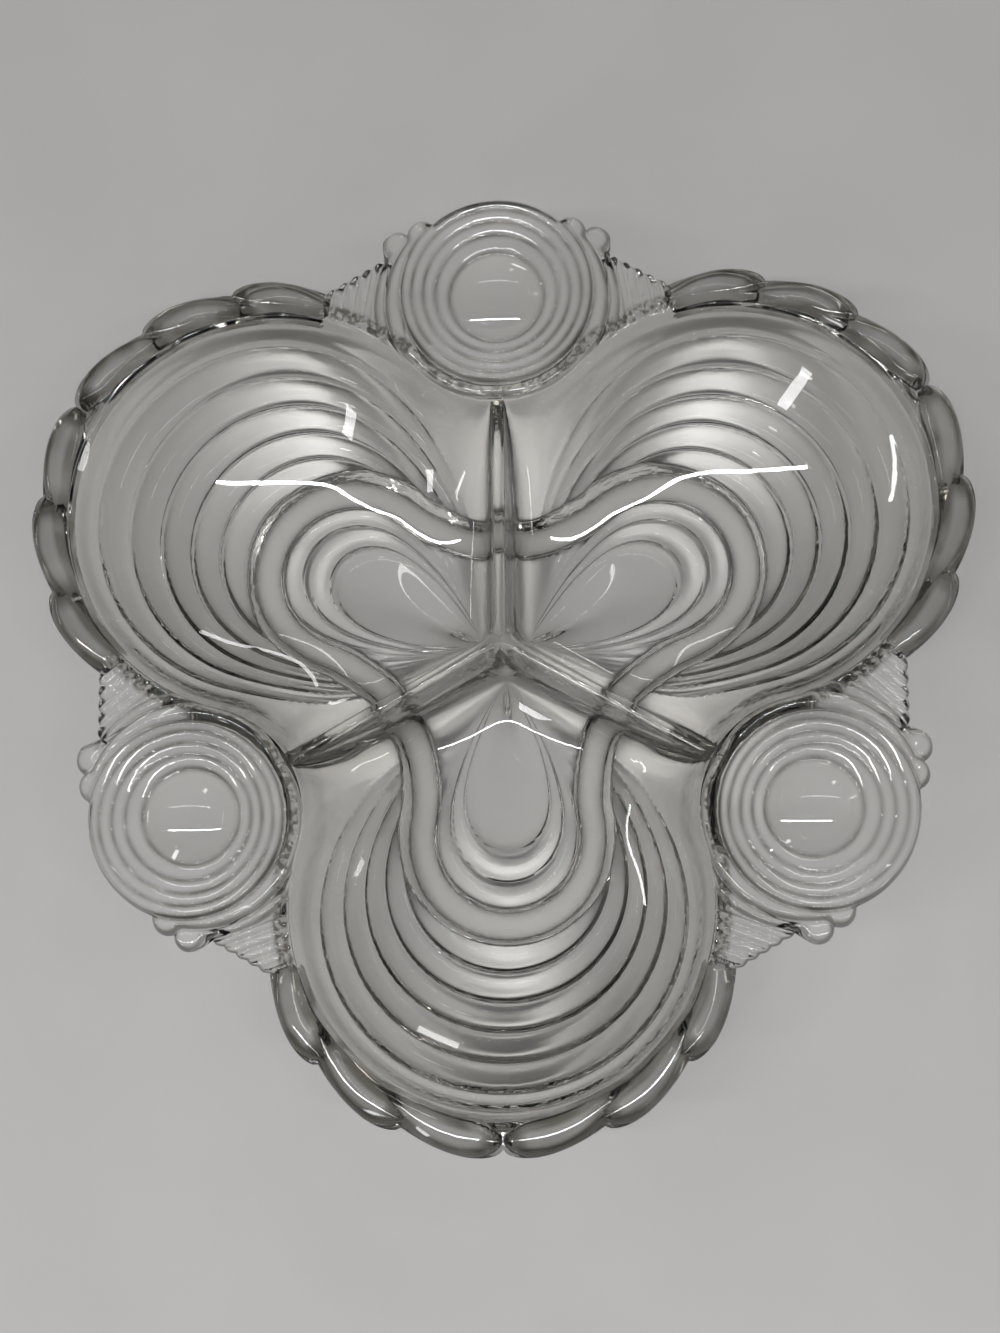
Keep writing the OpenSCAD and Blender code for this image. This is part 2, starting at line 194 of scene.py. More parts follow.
def rim_end_out():
    """Outer end of the last leaf."""
    reach = LOBE_R + RIM_W
    return reach * math.sin(RIM_END), LOBE_OFFSET + reach * math.cos(RIM_END)


def on_lobe(u, v):
    """A point's place on a lobe: out from its edge, and its turn round the lobe's centre."""
    return np.hypot(u, v - LOBE_OFFSET) - LOBE_R, np.arctan2(u, v - LOBE_OFFSET)


def in_leaves(u, v):
    """True where the rim has leaves, before the handle begins."""
    return on_lobe(u, v)[1] < RIM_END


# Heights of the upper side and the underside
def bowl(u, v):
    """Upper side of a compartment and its slope."""
    gap = rim_gap(u, v)
    near = np.maximum(gap, -PAST_EDGE)
    inner = np.maximum(0, foot_gap(u, v) + RISE_START)
    run = np.maximum(inner + near, LEAST_RUN)
    share = inner / run
    power = BOWL_POWER + CHANNEL_POWER * bell(beside_divider(u, v), CHANNEL_W)
    height = (RIM_H - FLOOR_H) * share ** power
    slope = (RIM_H - FLOOR_H) * power * share ** (power - 1) / run
    return FLOOR_H + height + PAST_SLOPE * (near - gap), np.minimum(slope, STEEPEST)


def wall_profile(s, height):
    """Height of a drafted wall with a round top and a round fillet at its foot."""
    height = np.maximum(height, LEAST_WALL)
    fillet = np.minimum(FILLET_R, FILLET_SHARE * height)
    crown = np.minimum(CROWN_R, CROWN_SHARE * height)
    flat = DIVIDER_TOP / 2 - crown
    lean, sin_d, cos_d = math.tan(DRAFT), math.sin(DRAFT), math.cos(DRAFT)
    s_top = flat + crown * cos_d
    z_top = height - crown * (1 - sin_d)
    z_foot = fillet * (1 - sin_d)
    s_foot = s_top + (z_top - z_foot) * lean
    s_end = s_foot + fillet * cos_d
    round_top = height - crown + np.sqrt(np.maximum(crown ** 2 - (s - flat) ** 2, 0))
    round_foot = fillet - np.sqrt(np.maximum(fillet ** 2 - (s_end - s) ** 2, 0))
    z = np.where(s < s_end, round_foot, 0)
    z = np.where(s < s_foot, z_top - (s - s_top) / lean, z)
    z = np.where(s < s_top, round_top, z)
    return np.where(s < flat, height, z)


def leaf_fullness(turn):
    share = turn / math.radians(LEAF_PITCH)
    return np.sin(math.pi * (share - np.floor(share)) ** LEAF_LEAN)


def leaf_place(out, turn, k):
    """Place on a leaf: along it, across it from -1 to 1, its half width, and whether it is there."""
    pitch = math.radians(LEAF_PITCH)
    a = (turn - k * pitch - math.radians(LEAF_LEAD)) / pitch
    share = np.clip(a / LEAF_TAIL, 0, 1)
    half = LEAF_HALF * np.sin(math.pi * share ** LEAF_LEAN) + LEAF_LEAST
    middle = LEAF_MIDDLE - (LEAF_MIDDLE - TAIL_MIDDLE) * smooth_step((share - TAIL_FROM) / TAIL_OVER)
    return share, (out - middle) / half, half, (a > 0) & (a < LEAF_TAIL)


def leaf_sides(u, v):
    """Top and underside of the rim: leaves, fat toward the lobe's tip, with a tail along the rim."""
    out, turn = on_lobe(u, v)
    dip = 1 - smooth_step(np.abs(turn) / math.radians(RIM_DIP_TURN))
    base = RIM_H - RIM_FALL * out - RIM_DIP * dip * smooth_step(out / RIM_DIP_RUN)
    top, under = base, np.full(out.shape, RIM_UNDER)
    for k in range(LEAVES):
        share, x, half, here = leaf_place(out, turn, k)
        falling = 1 - LEAF_FALL * share
        peak = RIM_H + LEAF_RISE * falling - LEAF_TILT * (out - LEAF_TILT_FROM)
        full = np.sqrt(np.clip(1 - x * x, 0, 1))
        top = smooth_max(top, np.where(here, base + (peak - base) * full, base), LEAF_BLEND)
        body = RIM_UNDER - (RIM_UNDER - LEAF_UNDER) * full * smooth_step(half / LEAF_BODY_RUN) * falling
        under = smooth_min(under, np.where(here, body, RIM_UNDER), LEAF_BLEND)
    return top, under


def ridge(inside, outside, low, high):
    """Round band between its outer edge and the edge of the plate before it."""
    x = 2 * inside / np.maximum(inside + outside, LEAST_BAND) - 1
    full = smooth_step((inside + outside) / CRESCENT_FULL_W)
    band = low + (high - low) * full * np.sqrt(np.clip(1 - x * x, 0, 1))
    return np.where((inside > 0) & (outside > 0), band, low)


def crescent_depth(s, t, shift, scallop):
    """Distance in from the edge of a crescent and of the scallop at its end."""
    plate = DISC_R - np.hypot(s - shift[0] * DISC_R, t - shift[1] * DISC_R)
    knob = scallop[2] * DISC_R - np.hypot(s - scallop[0] * DISC_R, t - scallop[1] * DISC_R)
    return smooth_max(plate, knob, CRESCENT_BLEND)


def with_ribs(top, s, t, edge_gap):
    """Adds the ribs that run inward from the slanting edge between the scallops and the first leaf."""
    from_s, from_t = np.array(RIB_START) * DISC_R
    end_s = beside_divider(*rim_end_out())
    w = (s + RIB_LEAN * (t - from_t) - from_s) / (end_s - from_s) * RIB_COUNT
    rib = RIB_TOP - RIB_H * (1 - np.sqrt(np.abs(np.sin(math.pi * w)) + RIB_CREASE))
    zone = smooth_step(w * RIB_FADE) * smooth_step(edge_gap / RIB_RUN)
    return top + (np.maximum(rib, top) - top) * zone


def with_crescents(top, s, t):
    """Adds the crescents that hug the disc, each with a scallop at its end."""
    before = -off_disc(s, t)
    for k, (shift, scallop) in enumerate(zip(CRESCENT_SHIFTS, SCALLOPS)):
        depth = crescent_depth(s, t, shift, scallop)
        band = ridge(depth, -before, WEB_TOP, CRESCENT_TOP - k * CRESCENT_DROP)
        top = np.where((s > 0) & (depth > 0) & (before < 0), np.maximum(band, top), top)
        before = np.maximum(before, depth)
    return top


def disc_top(s, t):
    """Top of a handle's disc: a domed eye, tilted rings with creases between them, a round edge."""
    r = np.hypot(s, t)
    disc = np.full(r.shape, WEB_TOP)
    for k in range(len(RING_EDGES) - 1):
        past = np.hypot(s, t - RING_SHIFTS[k]) - RING_EDGES[k]
        left = RING_EDGES[k + 1] - np.hypot(s, t - RING_SHIFTS[k + 1])
        x = np.clip((past - left) / np.maximum(past + left, LEAST_BAND), -1, 1)
        crown = RING_TOP + k * RING_RISE + RING_TILT * x - RING_ROUND * x ** 2
        disc = np.where((past >= 0) & (left > 0), crown - RING_GROOVE * x ** GROOVE_POWER, disc)
    dome = DISC_TOP - EYE_DOME_R + np.sqrt(EYE_DOME_R ** 2 - np.minimum(r, EYE_R) ** 2)
    disc = np.where(r < EYE_R, dome, disc)
    edge = np.clip(-off_disc(s, t) / DISC_EDGE_W, 0, 1)
    return np.minimum(disc, WEB_TOP + (DISC_TOP - WEB_TOP) * np.sqrt(edge * (2 - edge)))


def handle_top(s, t, edge_gap):
    """Top of a handle, from the point beside and beyond its centre."""
    web = WEB_TOP + (RIM_H - WEB_TOP) * (1 - smooth_step(edge_gap / WEB_RUN))
    around = with_crescents(with_ribs(web, s, t, edge_gap), s, t)
    return np.where(off_disc(s, t) < 0, disc_top(s, t), around)


def handle_under(s, t):
    """Underside of a handle, which sags under the eye."""
    return HANDLE_UNDER - EYE_UNDER_SAG * np.clip(1 - (np.hypot(s, t) / EYE_R) ** 2, 0, 1)


def outer_top(u, v):
    gap = rim_gap(u, v)
    top = np.where(in_leaves(u, v), leaf_sides(u, v)[0], handle_top(*on_handle(u, v), -gap))
    return np.where(gap > 0, RIM_H + PAST_SLOPE * gap, top)


def top_z(u, v):
    """Height of the tray's upper side."""
    floor, _ = bowl(u, v)
    s, other = beside_divider(u, v), v * SIN60 + u * COS60
    s = np.maximum(smooth_min(s, other, CORNER_ROUND), 0)
    share = np.clip(along_divider(u, v) / (HANDLE_OFFSET - APRON_R), 0, 1)
    crest = DIVIDER_H + (RIM_H - DIVIDER_H) * share ** 2
    inside = floor + np.where(rim_gap(u, v) > 0, wall_profile(s, crest - floor), 0)
    return smooth_min(inside, outer_top(u, v), RIM_BLEND)


def spread(reach):
    """Half the angle that a loop takes in, seen from the tray's axis."""
    inner = EYE_SPREAD * np.sqrt(np.minimum(reach / EYE_REACH, 1))
    return np.radians(inner + SPREAD_RATE * np.maximum(reach / EYE_REACH - 1, 0))


def roundness(reach):
    return EYE_ROUND + ROUND_RATE * np.maximum(reach / EYE_REACH - 1, 0)


def loop_radius(reach, turn):
    x = np.clip(turn / spread(reach), 0, 1)
    return reach * np.maximum(np.cos(math.pi / 2 * x), 0) ** roundness(reach)


def loop_reach(u, v):
    """Reach of the drop-shaped loop that a point lies on."""
    turn, r = np.arctan2(u, v), np.hypot(u, v)
    low, high = np.full(u.shape, LEAST_REACH), np.full(u.shape, MOST_REACH)
    for _ in range(HALVINGS):
        middle = (low + high) / 2
        short = loop_radius(middle, turn) < r
        low, high = np.where(short, middle, low), np.where(short, high, middle)
    return (low + high) / 2


def flute_place(reach):
    """Place across a flute, from -1 to 1."""
    phase = np.clip((reach - EYE_REACH) / FLUTE_PITCH, -0.5, FLUTES + 0.5)
    return 2 * (phase - np.floor(phase)) - 1


def flute(u, v):
    """How far the fluted underside bulges down."""
    reach = loop_reach(u, v)
    step = 0.05
    across = np.hypot(loop_reach(u + step, v) - reach, loop_reach(u, v + step) - reach) / step
    wave = 1 - np.abs(flute_place(reach)) ** FLUTE_FULL
    return FLUTE_DEPTH * wave / np.maximum(across, 1)


def bottom_z(u, v):
    """Height of the tray's underside."""
    floor, slope = bowl(u, v)
    gap = rim_gap(u, v)
    under = floor - GLASS_T * np.sqrt(1 + slope ** 2)
    s, t = on_handle(u, v)
    plate = np.where(in_leaves(u, v), leaf_sides(u, v)[1], handle_under(s, t))
    fade = smooth_step(gap / FLUTE_RIM_FADE) * smooth_step((s - FLUTE_CLEAR) / FLUTE_FADE)
    under = np.where(gap > 0, under - flute(u, v) * fade, under)
    lift = smooth_step((off_foot(u, v) + FOOT_SIDE_IN) / (FOOT_SIDE_IN + FOOT_SIDE_OUT))
    return smooth_min(under, np.where(gap > 0, plate + PAST_SLOPE * gap, plate), RIM_BLEND) * lift


# Marks of painted shade on the glass, smooth or speckled, from 0 to 1
def leaf_shade(u, v):
    """Painted shade on the leaves' flanks, round the clear window in each leaf's fat part."""
    out, turn = on_lobe(u, v)
    shade = np.full(out.shape, RIM_SHADE)
    for k in range(LEAVES):
        share, x, _, here = leaf_place(out, turn, k)
        window = smooth_step((share - WINDOW_FROM) / WINDOW_IN)
        window = window * (1 - smooth_step((share - WINDOW_TO) / WINDOW_OUT))
        window = window * (1 - smooth_step((np.abs(x) - WINDOW_HALF) / WINDOW_SOFT))
        shade = np.where(here & (np.abs(x) < 1), 1 - WINDOW_CLEAR * window, shade)
    return np.where(in_leaves(u, v) & (rim_gap(u, v) < 0), shade, 0)


def wall_behind(u, v):
    """Painted speckled shade in the band outside the compartment's edge where its steep outer wall runs up
    under a handle.
    """
    out = -rim_gap(u, v)
    band = smooth_step((out - WALL_START) / WALL_IN) * (1 - smooth_step((out - WALL_BAND) / WALL_OUT))
    return np.where(in_leaves(u, v), 0, band * smooth_step(off_disc(*on_handle(u, v)) / WALL_CLEAR))


def handle_lines(u, v):
    """Painted shade in the grooves between a handle's rings, and along the edges of its disc, crescents
    and scallops.
    """
    s, t = on_handle(u, v)
    past = [np.hypot(s, t - shift) - edge for edge, shift in zip(RING_EDGES, RING_SHIFTS)]
    lines = [GROOVE_SHADE * bell(p, GROOVE_W) for p in past[:-1]]
    lines.append(DISC_EDGE_SHADE * bell(past[-1] + DISC_LINE, GROOVE_W))
    before = -past[-1]
    for shift, scallop in zip(CRESCENT_SHIFTS, SCALLOPS):
        depth = crescent_depth(s, t, shift, scallop)
        lines.append(np.where(before < 0, CRESCENT_SHADE * bell(depth - CRESCENT_LINE, GROOVE_W), 0))
        before = np.maximum(before, depth)
    return np.where(in_leaves(u, v) | (rim_gap(u, v) >= 0), 0, np.max(lines, axis=0))


def handle_edge(u, v, rest):
    """Painted shade as a dark line along a handle's outline; rest is the distance to it in the outermost
    rows.
    """
    line = np.zeros(u.shape)
    line[len(line) - len(rest):] = OUTLINE_SHADE * (1 - smooth_step(rest / OUTLINE_W))
    return np.where(in_leaves(u, v), 0, line)


def foot_sides(u, v):
    """Lines along both sides of the foot ring, for speckled painted shade on the glass and less light
    through to the table.
    """
    return bell(off_foot(u, v) - FOOT_LINE, FOOT_LINE_W)


# Marks for the light that reaches the table
def gathered_light(u, v):
    """Light that the flutes gather under their backs, less what they take from their grooves."""
    reach = loop_reach(u, v)
    gain = FOCUS_LOW + FOCUS_GAIN * bell(flute_place(reach) - FOCUS_AT, FOCUS_W)
    rise_over = FOCUS_RISE_FLUTES * FLUTE_PITCH
    higher = 1 + FOCUS_RISE * smooth_step((reach - EYE_REACH - rise_over) / rise_over)
    fade = smooth_step((reach - EYE_REACH) / FOCUS_EYE_RUN) * smooth_step(rim_gap(u, v) / FOCUS_RIM_RUN)
    return np.where(off_foot(u, v) < FOOT_SIDE_OUT, 0, (gain - 1) * higher * fade)


def foot_light(u, v):
    """Light under the foot ring's band, and the dark lines along its sides."""
    band = 1 + BAND_LIGHT * bell(off_foot(u, v) + FOOT_W / 2, BAND_W)
    return band * (1 - FOOT_SHADOW * foot_sides(u, v))


def along_lamp(points):
    """How strongly the flutes gather the long lamp's light: most where they run left to right."""
    turns = np.radians(LOBE_TURNS)
    centres = LOBE_OFFSET * np.stack((np.cos(turns), np.sin(turns)), axis=1) - (0, MIDDLE_Y)
    off = points[:, None, :2] - centres
    far = np.hypot(off[..., 0], off[..., 1])
    nearest = np.argmin(far, axis=1)[:, None]
    away = np.maximum(np.take_along_axis(far, nearest, 1), 1)
    along = np.take_along_axis(off[..., 1], nearest, 1) / away
    return LAMP_ASIDE + LAMP_ALONG * along[:, 0] ** 2


# Plan curves of half a compartment, from its own axis to the handle's axis
def strip_columns():
    """Distances beside a divider, closest where its top and its foot turn."""
    flat = DIVIDER_TOP / 2 - CROWN_R
    crown = flat + CROWN_R * np.sin(CROWN_ANGLES)
    foot = STRIP_W - FILLET_R * math.cos(DRAFT)
    wall = np.linspace(crown[-1], foot, WALL_STEPS + 1)[1:]
    fillet = foot + (STRIP_W - foot) * np.linspace(0, 1, FILLET_STEPS + 1)[1:] ** FILLET_LEAN
    return np.concatenate(((0,), crown, wall, fillet))[::-1]


def edge_curve():
    """The compartment's edge: its points, their shares for the foot ring, the first strip column."""
    leaf = np.linspace(0, RIM_END, LEAF_COLS + 1)
    flank = np.linspace(RIM_END, TURN_AT, FLANK_COLS + 1)[1:]
    strip = HALF_SECTOR + np.arcsin(strip_columns() / APRON_R)
    apron = np.linspace(TURN_AT, strip[0], APRON_COLS + 1)[1:-1]
    lobe = np.concatenate((leaf, flank))
    back = np.concatenate((apron, strip))
    u = np.concatenate((LOBE_R * np.sin(lobe), HANDLE_C[0] - APRON_R * np.sin(back)))
    v = np.concatenate((LOBE_OFFSET + LOBE_R * np.cos(lobe), HANDLE_C[1] - APRON_R * np.cos(back)))
    shares = (lobe / TURN_AT, (back - HALF_SECTOR) / (TURN_AT - HALF_SECTOR))
    return (u, v), shares, len(u) - len(strip)


def foot_curve(inset, shares):
    """Foot ring's outline, moved in by the inset, with one point for each column."""
    lobe = shares[0] * MEET_AT
    back = HALF_SECTOR + shares[1] * (MEET_AT - HALF_SECTOR)
    lobe_r, curl_r = FOOT_LOBE_R - inset, CURL_R + inset
    u = np.concatenate((lobe_r * np.sin(lobe), CURL_C[0] - curl_r * np.sin(back)))
    v = np.concatenate((FOOT_LOBE_OFFSET + lobe_r * np.cos(lobe), CURL_C[1] - curl_r * np.cos(back)))
    return u, v


def lengths(u, v):
    """Length of a curve up to each of its points."""
    return np.concatenate(((0,), np.cumsum(np.hypot(np.diff(u), np.diff(v)))))


def circle_exit(turn, cx, cy, radius):
    """Distance at which a ray from the handle's centre leaves a circle."""
    ahead, aside = cx * np.cos(turn) + cy * np.sin(turn), cx * np.sin(turn) - cy * np.cos(turn)
    return np.where(np.abs(aside) < radius, ahead + np.sqrt(np.maximum(radius ** 2 - aside ** 2, 0)), 0)


def handle_outline(start):
    """Half a handle's outline: from the last leaf along the ribs, the scallops and the disc."""
    ribs = np.array(RIB_START) * DISC_R
    w = np.linspace(0, 1, RIB_POINTS)
    wave = RIB_WAVE * np.abs(np.sin(math.pi * RIB_COUNT * w))
    rib_s = start[0] + (ribs[0] - start[0]) * w + RIB_WAVE_ASIDE * wave
    rib_t = start[1] + (ribs[1] - start[1]) * w + wave
    turn = np.linspace(math.atan2(ribs[1], ribs[0]), math.pi / 2, DISC_POINTS)
    far = np.full(turn.shape, DISC_R)
    for x, y, radius in SCALLOPS:
        far = np.maximum(far, circle_exit(turn, x * DISC_R, y * DISC_R, radius * DISC_R))
    notch = turn < math.atan2(SCALLOPS[-1][1], SCALLOPS[-1][0])
    far = np.where(notch, np.maximum(far, NOTCH_R), far)
    return np.concatenate((rib_s, far * np.cos(turn))), np.concatenate((rib_t, far * np.sin(turn)))


def outline_curve(edge):
    """The tray's outline, with one point for each column of the edge."""
    leaf = np.linspace(0, RIM_END, LEAF_COLS + 1)
    reach = LOBE_R + RIM_W + LEAF_BULGE * leaf_fullness(np.minimum(leaf, RIM_END - SHORT_OF_END))
    leaf_u, leaf_v = reach * np.sin(leaf), LOBE_OFFSET + reach * np.cos(leaf)
    s, t = handle_outline(on_handle(leaf_u[-1], leaf_v[-1]))
    run = lengths(s, t)
    share = lengths(edge[0][LEAF_COLS:], edge[1][LEAF_COLS:])
    share = (1 - EVEN_COLS) * share / share[-1] + EVEN_COLS * np.linspace(0, 1, len(share))
    at = share * run[-1]
    u, v = from_divider(np.interp(at, run, s), np.interp(at, run, t) + HANDLE_OFFSET)
    return np.concatenate((leaf_u[:-1], u)), np.concatenate((leaf_v[:-1], v))


def ladder(start, end, first, middle_count, last):
    """Rows of points from one curve to another: steps of fixed length near each, even between."""
    du, dv = end[0] - start[0], end[1] - start[1]
    length = np.hypot(du, dv)
    fit = np.minimum(1, STEP_SHARE * length / max(first[-1], last.max(), TINY))
    inner, outer = first[:, None] * fit, length - last[:, None] * fit
    even = np.linspace(0, 1, middle_count + 2)[1:-1, None]
    middle = inner[-1] + (outer[0] - inner[-1]) * even
    at = np.concatenate((inner, middle, outer)) / np.maximum(length, TINY)
    return start[0] + du * at, start[1] + dv * at, length * (1 - at)


def loop_rows(edge, base):
    """Rows of the upper side inside a compartment, along the loops, up to the strip."""
    share = lengths(edge[0][:base + 1], edge[1][:base + 1])
    share = share / share[-1]
    rows = []
    for reach in np.linspace(FIRST_LOOP, LAST_REACH, LOOP_ROWS):
        s = np.sin(np.linspace(0, math.pi / 2, LOOP_POINTS))
        r = reach * np.maximum(np.cos(math.pi / 2 * s), 0) ** roundness(reach)
        u, v = r * np.sin(spread(reach) * s), r * np.cos(spread(reach) * s)
        gap = beside_divider(u, v) - STRIP_W
        last = int(np.argmax(gap < 0))
        f = gap[last - 1] / (gap[last - 1] - gap[last])
        u = np.append(u[:last], u[last - 1] + f * (u[last] - u[last - 1]))
        v = np.append(v[:last], v[last - 1] + f * (v[last] - v[last - 1]))
        run = lengths(u, v)
        rows.append((np.interp(share * run[-1], run, u), np.interp(share * run[-1], run, v)))
    return np.array([r[0] for r in rows]), np.array([r[1] for r in rows])


def upper_half(edge, outline, base):
    """Plan of the upper side: rows by columns, from the tray's axis to its outline."""
    u, v = loop_rows(edge, base)
    edge_part = (edge[0][:base + 1], edge[1][:base + 1])
    ru, rv, _ = ladder((u[-1], v[-1]), edge_part, LOOP_STEPS, RIM_ROWS, RIM_STEPS[::-1])
    corner = STRIP_W / SIN60
    u = np.concatenate((np.zeros((1, base + 1)), u, ru[1:]))
    v = np.concatenate((np.full((1, base + 1), corner), v, rv[1:]))
    s = strip_columns()[1:]
    r_in, r_out = s / math.tan(HALF_SECTOR), HANDLE_OFFSET - np.sqrt(APRON_R ** 2 - s ** 2)
    r = along_divider(u[:, -1], v[:, -1])
    share = ((r - r[0]) / (r[-1] - r[0]))[:, None]
    strip = from_divider(s, r_in + (r_out - r_in) * share)
    u, v = np.concatenate((u, strip[0]), axis=1), np.concatenate((v, strip[1]), axis=1)
    ou, ov, rest = ladder(edge, outline, RIM_STEPS, OUTER_TOP_ROWS, EDGE_STEPS)
    return np.concatenate((u, ou[1:])), np.concatenate((v, ov[1:])), rest


def foot_insets():
    """Distances in from the foot ring's outline, closest at its two sides."""
    inner = np.linspace(FOOT_W + FOOT_FINE_OUT, FOOT_W - FOOT_FINE_IN, FOOT_SIDE_ROWS)
    band = np.linspace(FOOT_W - FOOT_FINE_IN, FOOT_FINE_IN, FOOT_BAND_ROWS)[1:-1]
    return np.concatenate((inner, band, np.linspace(FOOT_FINE_IN, -FOOT_FINE_OUT, FOOT_SIDE_ROWS)))


def under_half(edge, outline, shares):
    """Plan of the underside, rows along the foot ring's outline and the compartment's edge."""
    rings = [foot_curve(inset, shares) for inset in foot_insets()]
    hub = np.linspace(0, 1, HUB_ROWS + 1)[:, None] ** HUB_LEAN
    wu, wv, _ = ladder(rings[-1], edge, FOOT_STEPS, WALL_ROWS, RIM_STEPS[::-1])
    ou, ov, rest = ladder(edge, outline, RIM_STEPS, OUTER_UNDER_ROWS, EDGE_STEPS)
    u = np.concatenate((rings[0][0] * hub, [r[0] for r in rings[1:]], wu[1:], ou[1:]))
    v = np.concatenate((rings[0][1] * hub, [r[1] for r in rings[1:]], wv[1:], ov[1:]))
    return u, v, rest


# The mesh of the whole tray
def round_edge(top, under, top_rest, under_rest):
    """Brings the two sides together in a round edge along the outline."""
    middle = (top[-1] + under[-1]) / 2
    for z, rest in ((top, top_rest), (under, under_rest)):
        x = 1 - np.clip(rest / EDGE_R, 0, 1)
        rows = slice(len(z) - len(rest), len(z))
        z[rows] = middle + (z[rows] - middle) * np.sqrt(1 - x * x)
    return top, under


def half_columns(half, cols):
    """Columns of the half compartment in the order in which one of the six halves takes them."""
    return slice(0, cols) if half % 2 == 0 else slice(cols, 0, -1)


def whole(u, v, z):
    """Turns the half compartment into the six halves of the tray: rows by ring columns."""
    parts = []
    for half in range(HALVES):
        pick = half_columns(half, u.shape[1] - 1)
        axis = FIRST_LOBE - SECTOR * ((half + 1) // 2)
        uu = u[:, pick] if half % 2 == 0 else -u[:, pick]
        vv = v[:, pick]
        x = vv * math.cos(axis) + uu * math.sin(axis)
        y = vv * math.sin(axis) - uu * math.cos(axis) - MIDDLE_Y
        parts.append(np.stack((x, y, z[:, pick]), axis=-1))
    return np.concatenate(parts, axis=1)


def six_times(values):
    """Repeats values of the half compartment for the six halves, in the order of the points."""
    halves = [values[:, half_columns(half, values.shape[1] - 1)] for half in range(HALVES)]
    return np.concatenate(halves, axis=1).ravel()


def fold_first_row(index, cols, base):
    """Folds the first row onto the compartments' axes; its end is the tray's axis."""
    for half in range(HALVES):
        lobe = (half + 1) // 2 % LOBES
        for i in range(cols):
            c = i if half % 2 == 0 else cols - i
            index[0, half * cols + i] = 2 * lobe * cols + max(c, base) if c < cols else cols


def ring_triangles(index):
    """Triangles between the rows of an index grid whose rows are closed rings."""
    a, b = index[:-1], index[1:]
    a2, b2 = np.roll(a, -1, axis=1), np.roll(b, -1, axis=1)
    first, second = np.stack((a, b, b2), -1), np.stack((a, b2, a2), -1)
    tris = np.concatenate((first.reshape(-1, 3), second.reshape(-1, 3)))
    good = (tris[:, 0] != tris[:, 1]) & (tris[:, 1] != tris[:, 2]) & (tris[:, 2] != tris[:, 0])
    return tris[good]


def signed_volume(points, tris):
    a, b, c = points[tris[:, 0]], points[tris[:, 1]], points[tris[:, 2]]
    return float(np.einsum("ij,ij->i", a, np.cross(b, c)).sum() / 6)


def mesh_marks(top, low, lower):
    """Marks of all points: painted shade, speckled painted shade, and the light let through to the table.
    """
    (top_u, top_v, _), (low_u, low_v, _) = top, low
    above = np.maximum(leaf_shade(top_u, top_v), handle_lines(top_u, top_v))
    above = six_times(np.maximum(above, handle_edge(*top)))
    beneath = six_times(np.maximum(leaf_shade(low_u, low_v), handle_edge(*low)))
    light = 1 + six_times(gathered_light(low_u, low_v)) * along_lamp(lower.reshape(-1, 3))
    light = np.maximum(light, FOCUS_LEAST) * six_times(foot_light(low_u, low_v))
    painted_speckled_shade = (six_times(wall_behind(top_u, top_v)), six_times(foot_sides(low_u, low_v)))
    return {
        "shade": np.concatenate((above, beneath)),
        "painted_speckle": np.concatenate(painted_speckled_shade),
        "focus": np.concatenate((np.ones(above.shape), light)),
    }


def glass_mesh():
    """Points, triangles and marks of the whole tray, as one closed skin."""
    edge, shares, base = edge_curve()
    outline = outline_curve(edge)
    top_u, top_v, top_rest = upper_half(edge, outline, base)
    low_u, low_v, low_rest = under_half(edge, outline, shares)
    top, under = round_edge(top_z(top_u, top_v), bottom_z(low_u, low_v), top_rest, low_rest)
    upper, lower = whole(top_u, top_v, top), whole(low_u, low_v, under)
    rows, ring = upper.shape[:2]
    upper_id = np.arange(rows * ring).reshape(rows, ring)
    fold_first_row(upper_id, ring // HALVES, base)
    lower_id = np.arange(lower.shape[0] * ring).reshape(-1, ring) + rows * ring
    lower_id[0] = lower_id[0, 0]
    lower_id[-1] = upper_id[-1]
    points = np.concatenate((upper.reshape(-1, 3), lower.reshape(-1, 3)))
    tris = np.concatenate((ring_triangles(upper_id), ring_triangles(lower_id)[:, ::-1]))
    used = np.unique(tris)
    marks = mesh_marks((top_u, top_v, top_rest), (low_u, low_v, low_rest), lower)
    marks = {name: values[used] for name, values in marks.items()}
    points, tris = points[used] * MM, np.searchsorted(used, tris)
    if signed_volume(points, tris) < 0:
        tris = tris[:, ::-1]
    return points, tris, marks


def make_object(name, points, tris, marks):
    mesh = bpy.data.meshes.new(name)
    mesh.vertices.add(len(points))
    mesh.vertices.foreach_set("co", points.astype(np.float32).ravel())
    mesh.loops.add(len(tris) * 3)
    mesh.loops.foreach_set("vertex_index", tris.astype(np.int32).ravel())
    mesh.polygons.add(len(tris))
    mesh.polygons.foreach_set("loop_start", np.arange(0, len(tris) * 3, 3, dtype=np.int32))
    mesh.polygons.foreach_set("use_smooth", np.ones(len(tris), dtype=bool))
    mesh.update()
    mesh.validate()
    for key, values in marks.items():
        mesh.attributes.new(key, "FLOAT", "POINT").data.foreach_set("value", values.astype(np.float32))
    obj = bpy.data.objects.new(name, mesh)
    bpy.context.collection.objects.link(obj)
    return obj


# Materials: depths are in metres, and a span of the noise is brought to a level
IOR, FACING_BLEND = 1.5, 0.5
WAVE_SCALE, WAVE_DETAIL, WAVE_STRENGTH, WAVE_DEPTH = 60.0, 1.0, 0.25, 0.0004
WEAR_AND_SPECKLE_SCALE, WEAR_AND_SPECKLE_DETAIL, WEAR_SPAN, WEAR_ROUGHNESS = 700.0, 3.0, (0.55, 0.85), (0.0, 0.08)
STREAK_SCALE, STREAK_DETAIL, STREAK_DEPTH, STREAK_POWER = 330.0, 2.0, 0.0003, 4.0
# Swirl and speckle noise vary how strong the painted shade is
SWIRL_SCALE, SWIRL_DETAIL, SWIRL_TWIST = 55.0, 0.5, 1.6
SWIRL_SPAN, SWIRL_LEVEL, PAINTED_SPECKLE_SPAN, PAINTED_SPECKLE_LEVEL = (0.36, 0.64), (0.68, 0.98), (0.42, 0.58), (0.4, 1.0)
